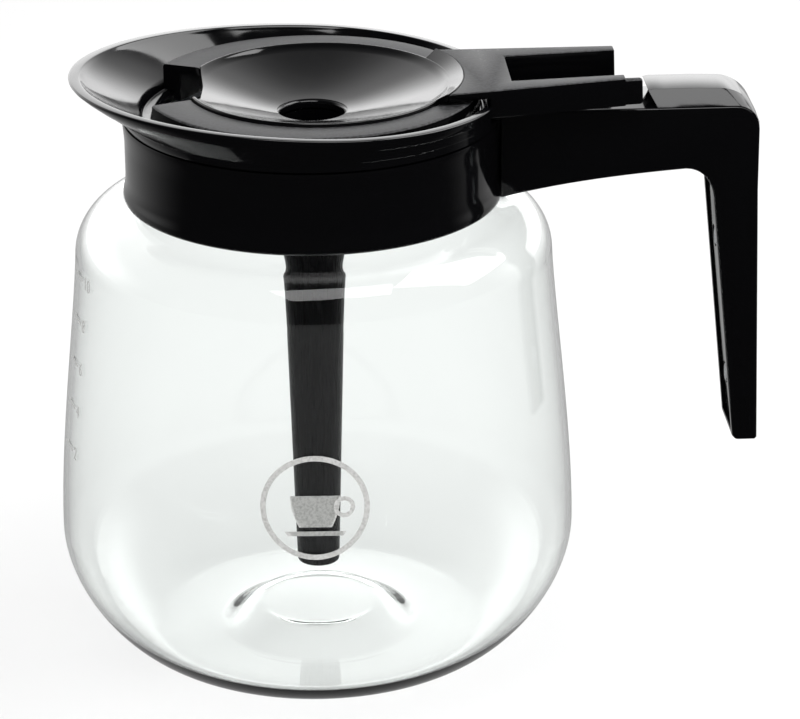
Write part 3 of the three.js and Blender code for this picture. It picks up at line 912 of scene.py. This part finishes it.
dish_radii = [HOLE + 0.8 + (MOUTH - 2.8 - HOLE) * i / 16 for i in range(17)]
funnel_section = [
    (HOLE - 0.1, HOLE_Z - 1.2),
    *[(radius, dish_height(radius) - DISH_WALL) for radius in dish_radii],
    (MOUTH - 2, 152.2),
    (MOUTH, 152.2),
    (MOUTH, DISH_TOP - 0.5),
    *arc((MOUTH - 0.5, DISH_TOP - 0.5), 0.5, 30, 120, 4),
    (MOUTH - 1.3, DISH_TOP - 0.45),
    *[(radius, dish_height(radius)) for radius in reversed(dish_radii)],
    *arc((HOLE + 0.9, HOLE_Z - 0.1), 0.9, 100, 180, 5),
]
funnel = turn("funnel_dish", ring_section(funnel_section), steps=192)
funnel_rings = rings_of(funnel, funnel_section)
open_piece(funnel)
for (radius, _), numbers in zip(funnel_section, funnel_rings):
    share = min(max((radius - HOLE) / (MOUTH - 2 - HOLE), 0), 1)
    if share > 0:
        select_numbers(funnel, numbers, lambda place: True)
        bpy.ops.transform.translate(value=(MOUTH_SHIFT * share * MM, 0, 0))
close_piece()
cut(funnel, notch_cutter())
hand_over(funnel, "lid", polished_black, "black_gloss", "lid_funnel")

# %% The raised lip against the tongue
LIP_RADIUS, LIP_SHIFT, LIP_HALF_TURN = 38.85, 1.2, 31
lip_section = [
    (35.0, 158.0),
    (38.5, 160.2),
    (38.7, 160.25),
    (LIP_RADIUS, 160.1),
    (LIP_RADIUS, 158.5),
    (36.0, 157.0),
]
sweep = {"start": LIP_HALF_TURN, "sweep": 2 * LIP_HALF_TURN}
lip = turn("funnel_lip", ring_section(lip_section), steps=48, **sweep)
open_piece(lip, action="DESELECT")
bpy.ops.mesh.select_non_manifold()
bpy.ops.mesh.fill_holes(sides=0)
close_mesh()
bpy.ops.mesh.select_all(action="SELECT")
bpy.ops.transform.translate(value=(LIP_SHIFT * MM, 0, 0))
close_piece()
middle = sum((from_axis(v.co) for v in lip.data.vertices), Vector()) / len(lip.data.vertices)
print("the lip's middle is at", [round(c, 1) for c in middle])
hand_over(lip, "lid", polished_black, "black_gloss")

# %% [markdown]
# ## The tongue
# The tongue is a forked plate with side walls that hang down, and one arm ends in a small hook. The
# plan is drawn with the slot and the round end against the funnel, filled and drawn up. The plate is
# split where the walls begin, and the faces beyond are drawn down.

# %% The tongue
TONGUE_TOP, PLATE, TONGUE_BOTTOM = 160.4, 2.2, 152.8
END_X, WALL_X, SLOT_X, SLOT_HALF = 81.5, 45.5, 52.0, 10.75
TONGUE_LIFT = math.radians(1.9)  # it rises slightly toward the handle


def tongue_half(x):
    """Half the tongue's width, which narrows toward the handle."""
    return 20.7 - (x - 30) / 51.5 * 6.1


root_arc = arc((LIP_SHIFT, 0), LIP_RADIUS + 0.1, -30.6, 30.6, 20)
tongue_plan = [
    *root_arc,
    (END_X, tongue_half(END_X)),
    (END_X, SLOT_HALF),
    (SLOT_X, SLOT_HALF),
    (SLOT_X, -SLOT_HALF),
    (END_X, -SLOT_HALF),
    (END_X, -tongue_half(END_X)),
]
tongue = raise_plan("tongue_fork", tongue_plan, TONGUE_TOP - PLATE, TONGUE_TOP)
open_piece(tongue)
bpy.ops.mesh.bisect(plane_co=at(WALL_X, 0, 0), plane_no=(1, 0, 0))
low = TONGUE_TOP - PLATE
pick(tongue, "FACE", lambda place: place.x > WALL_X and abs(place.z - low) < 0.01)
down = {"value": Vector((0, 0, (TONGUE_BOTTOM - low) * MM))}
bpy.ops.mesh.extrude_region_move(TRANSFORM_OT_translate=down)
close_mesh()
close_piece()
ease_edges(tongue, 0.45)

# %% The hook on the longer arm, and the tongue's lift
hook_plan = [(79.8, -14.4), (86, -14.2), (86, -12.0), (79.8, -11.6)]
hook = ease_edges(raise_plan("hook", hook_plan, TONGUE_BOTTOM + 0.1, 159.9), 0.8)
cut(tongue, hook, operation="UNION")
open_piece(tongue)
bpy.ops.transform.rotate(value=TONGUE_LIFT, orient_axis="Y", center_override=at(46, 0, 158))
close_piece()
hand_over(tongue, "lid", spark_black, "black_matte", "lid_tongue", sides=polished_black)

# %% [markdown]
# ## The mixing tube
# A long tapered tube hangs from the lid, with a flange under the funnel's hole. Its section is
# closed, with a wall that is drawn thin and round at the lower edge.

# %% The mixing tube
tube_section = ring_section(
    [
        (4.6, 20.4),
        *arc((5.2, 20.5), 0.6, 200, 350, 6),
        (9.3, 145.4),
        *curve((9.4, 146.0), (9.5, 146.2), (9.7, 146.25), (10.2, 146.25), 3),
        (12.2, 146.25),
        (12.5, 146.5),
        (12.5, 147.3),
        (12.3, 147.6),
        (8.2, 147.6),
    ]
)
tube = turn("mixing_tube_long", tube_section, steps=96)
hand_over(tube, "lid", satin_black, "black_satin", "mixing_tube")

# %% [markdown]
# ## Printed marks
# A cup scale runs up the side of the glass and a small mark stands on its front. Real prints
# follow the glass, so each flat shape is laid against it by a shrinkwrap and given a thickness of
# ink. The scale is plain ticks and numerals; the mark is a plain ring round a coffee cup.

# %% Laying a flat shape on the glass
INK = 0.08
BEFORE_GLASS = -80  # flat shapes are drawn this far in front of the jug's axis


def print_on_glass(piece, turned_by):
    """Wraps a flat shape that stands in front of the glass onto it, then turns it round the axis."""
    apply_modifier(
        piece,
        "SHRINKWRAP",
        target=vessel,
        wrap_method="PROJECT",
        use_project_y=True,
        use_positive_direction=True,
        use_negative_direction=False,
        offset=0.03 * MM,
    )
    apply_modifier(piece, "SOLIDIFY", thickness=INK * MM, offset=1.0)
    open_piece(piece)
    bpy.ops.mesh.normals_make_consistent(inside=False)
    if turned_by:
        bpy.ops.transform.rotate(
            value=-math.radians(turned_by), orient_axis="Z", center_override=at(0, 0, 0)
        )
    close_piece()
    return piece


def flat_shape(name, outline, cuts=0):
    """A filled flat shape of (x, z) points, standing in front of the glass."""
    piece = draw_line(name, [at(x, BEFORE_GLASS, z) for x, z in ring_section(outline)])
    bpy.ops.mesh.remove_doubles(threshold=TINY)
    bpy.ops.mesh.edge_face_add()
    if cuts:
        bpy.ops.mesh.subdivide(number_cuts=cuts)
    close_piece()
    return piece


def flat_ring(name, centre, inner, outer, steps=72):
    """A flat ring that stands in front of the glass."""
    x, z = centre
    piece = draw_line(name, [at(x + r, BEFORE_GLASS, z) for r in (inner, outer)])
    middle = at(x, BEFORE_GLASS, z)
    bpy.ops.mesh.spin(steps=steps, angle=math.tau, center=middle, axis=(0, 1, 0))
    close_mesh()
    close_piece()
    return piece


# %% The mark: a ring round a cup
MARK = (-3.3, 66.0)
MARK_X, MARK_Z = MARK
mark_ring = flat_ring("printed_ring", MARK, 12.6, 14.0)
rows = 10
cup_sides = [(6.4 - 2.2 * (i / rows) ** 2, 3.2 - 8.4 * i / rows) for i in range(rows + 1)]
cup_plan = [(MARK_X + x, MARK_Z + z) for x, z in cup_sides]
cup_plan += [(MARK_X - x, MARK_Z + z) for x, z in reversed(cup_sides)]
cup = flat_shape("printed_cup", cup_plan)
grip_ring = flat_ring("printed_cup_grip", (MARK_X + 7.4, MARK_Z + 0.2), 1.7, 2.8, 32)
saucer_plan = [(MARK_X + x, MARK_Z + z) for x, z in ((-8, -6.4), (8, -6.4), (7, -7.6), (-7, -7.6))]
saucer = flat_shape("printed_saucer", saucer_plan)
for piece in (mark_ring, cup, grip_ring, saucer):
    print_on_glass(piece, 0)
    hand_over(piece, "jug", fired_enamel, None)

# %% The cup scale
SCALE_TURN = -78  # degrees from the jug's front to the scale, toward the spout
TICK_HALF, TICK_HIGH = 4, 0.7
for count, height in ((2, 62), (4, 74), (6, 86), (8, 98), (10, 110)):
    top = height + TICK_HIGH
    tick_plan = [(-TICK_HALF, height), (TICK_HALF, height), (TICK_HALF, top), (-TICK_HALF, top)]
    tick = flat_shape(f"scale_tick_{count}", tick_plan, cuts=3)
    print_on_glass(tick, SCALE_TURN)
    hand_over(tick, "jug", fired_enamel, None)
    leave_all()
    corner = at(5.2, BEFORE_GLASS, height - 1.2)
    bpy.ops.object.text_add(location=corner, rotation=(math.pi / 2, 0, 0))
    numeral = bpy.context.object
    numeral.name = f"scale_numeral_{count}"
    numeral.data.body = str(count)
    numeral.data.size = 5 * MM
    bpy.ops.object.convert(target="MESH")
    bpy.ops.object.transform_apply()
    print_on_glass(numeral, SCALE_TURN)
    hand_over(numeral, "jug", fired_enamel, None)

# %% [markdown]
# ## The studio
# Clear glass is shown by what is behind it, and polished black by what it mirrors, so the two need
# different surroundings. The jug stands on a lit opal board inside a pale tent, which light the
# glass evenly and leave almost no shadow. Once a ray has been mirrored it meets a darker room: a
# glow behind the jug, brightest a little above the horizon, and near black in front. Mirror images
# leave the board out, and it is dimmer for rays that were mirrored earlier on their way. Two soft
# panels, high in front and high on the handle's side, shape the sloping faces.

# %% The floor
TENT, BOARD, BOARD_MIRRORED = 0.92, 0.52, 0.45
GLOW_BEHIND, GLOW_FRONT = 3.1, 0.02
floor_finish, surface, place = new_finish(
    "lit_opal_board", Base_Color=linear("#9a9a9a"), Roughness=0.9, Specular_IOR_Level=0.1
)
surface.inputs["Emission Color"].default_value = linear("#ffffff")
mirrored = add_node(floor_finish, "ShaderNodeLightPath").outputs["Glossy Depth"]
lit = add_node(
    floor_finish,
    "ShaderNodeMapRange",
    {"To Min": BOARD, "To Max": BOARD * BOARD_MIRRORED},
    {"Value": mirrored},
)
join(floor_finish, lit.outputs["Result"], surface.inputs["Emission Strength"])
leave_all()
bpy.ops.mesh.primitive_plane_add(size=12, location=(0, 0, -0.0002))
floor = bpy.context.object
floor.name = "floor"
floor.data.materials.append(floor_finish)
floor.visible_glossy = False
print("the floor is", [round(side, 1) for side in floor.dimensions[:2]], "metres")

# %% The surround
world = bpy.data.worlds.new("pale_surround")
bpy.context.scene.world = world
world.use_nodes = True
sky = world.node_tree.nodes["Background"]
sky.inputs["Color"].default_value = linear("#ffffff")
around = add_node(world, "ShaderNodeTexCoord").outputs["Generated"]
direction = add_node(world, "ShaderNodeSeparateXYZ", links={"Vector": around})
behind = add_node(
    world,
    "ShaderNodeMapRange",
    {"From Min": -0.1, "From Max": 0.8, "interpolation_type": "SMOOTHSTEP"},
    {"Value": direction.outputs["Y"]},
)
height_share = add_node(
    world,
    "ShaderNodeMapRange",
    {"From Min": -1.0, "From Max": 1.0},
    {"Value": direction.outputs["Z"]},
)
glow = add_node(world, "ShaderNodeValToRGB", links={"Fac": height_share.outputs["Result"]})
glow.color_ramp.interpolation = "EASE"
# Heights run from 0, straight down, over 0.5, the horizon, to 1, straight up.
levels = ((0.0, 0.08), (0.4, 0.16), (0.53, 0.7), (0.62, 1.0), (0.78, 0.35), (0.92, 0.07))
for number, (height, level) in enumerate(levels):
    stops = glow.color_ramp.elements
    stop = stops[number] if number < 2 else stops.new(height)
    stop.position = height
    stop.color = (level, level, level, 1)
shine = add_node(world, "ShaderNodeMath", {"operation": "MULTIPLY"})
join(world, glow.outputs["Color"], shine.inputs[0])
join(world, behind.outputs["Result"], shine.inputs[1])
mirror_view = add_node(world, "ShaderNodeMath", {"operation": "MULTIPLY_ADD"})
join(world, shine.outputs["Value"], mirror_view.inputs[0])
mirror_view.inputs[1].default_value = GLOW_BEHIND
mirror_view.inputs[2].default_value = GLOW_FRONT
strength = add_node(world, "ShaderNodeMix", {"data_type": "FLOAT"})
join(world, add_node(world, "ShaderNodeLightPath").outputs["Glossy Depth"], strength.inputs[0])
strength.inputs[2].default_value = TENT
join(world, mirror_view.outputs["Value"], strength.inputs[3])
join(world, strength.outputs[0], sky.inputs["Strength"])
print("surround:", len(world.node_tree.nodes), "nodes")

# %% The two panels
def soft_panel(name, place, aim, size, radiance):
    """A rectangular soft light, set by how bright its face looks."""
    light = bpy.data.lights.new(name, "AREA")
    light.shape = "RECTANGLE"
    light.size, light.size_y = size
    light.energy = radiance * math.pi * size[0] * size[1]
    panel = bpy.data.objects.new(name, light)
    bpy.context.scene.collection.objects.link(panel)
    panel.location = place
    panel.rotation_mode = "QUATERNION"
    panel.rotation_quaternion = (Vector(aim) - Vector(place)).to_track_quat("-Z", "Y")
    panel.visible_camera = False
    panel.visible_transmission = False


soft_panel("panel_above", (0.1, -0.45, 1.15), (0, 0, 0.1), (0.8, 0.5), 4.6)
soft_panel("panel_right", (1.0, 0.15, 1.2), (0.1, 0, 0.15), (1.1, 1.1), 5.0)
bpy.context.scene.view_settings.view_transform = "Standard"

# %% [markdown]
# ## The camera
# A long lens about a metre away, well above the rim, a little to the spout's side of the front and
# rolled by a third of a degree. Three directions are worked out from its angles: back toward the
# camera, to its right and up.

# %% The camera
AZIMUTH, ELEVATION, ROLL = math.radians(-3.64), math.radians(22.28), math.radians(-0.32)
DISTANCE, LENS, SENSOR = 0.9809, 162.3, 36
TARGET = Vector((-0.00208, 0, 0.07843))
back = Vector(
    (
        math.sin(AZIMUTH) * math.cos(ELEVATION),
        -math.cos(AZIMUTH) * math.cos(ELEVATION),
        math.sin(ELEVATION),
    )
)
level = Vector((math.cos(AZIMUTH), math.sin(AZIMUTH), 0))
upright = back.cross(level)
right = level * math.cos(ROLL) + upright * math.sin(ROLL)
up = upright * math.cos(ROLL) - level * math.sin(ROLL)
camera = bpy.data.objects.new("camera", bpy.data.cameras.new("camera"))
bpy.context.scene.collection.objects.link(camera)
turned = Matrix((right, up, back)).transposed().to_4x4()
camera.matrix_world = Matrix.Translation(TARGET + back * DISTANCE) @ turned
camera.data.sensor_width = SENSOR
camera.data.lens = LENS
camera.data.clip_start = 0.05
camera.data.clip_end = 20
bpy.context.scene.camera = camera
print("the camera stands at", [round(c, 3) for c in camera.matrix_world.translation])
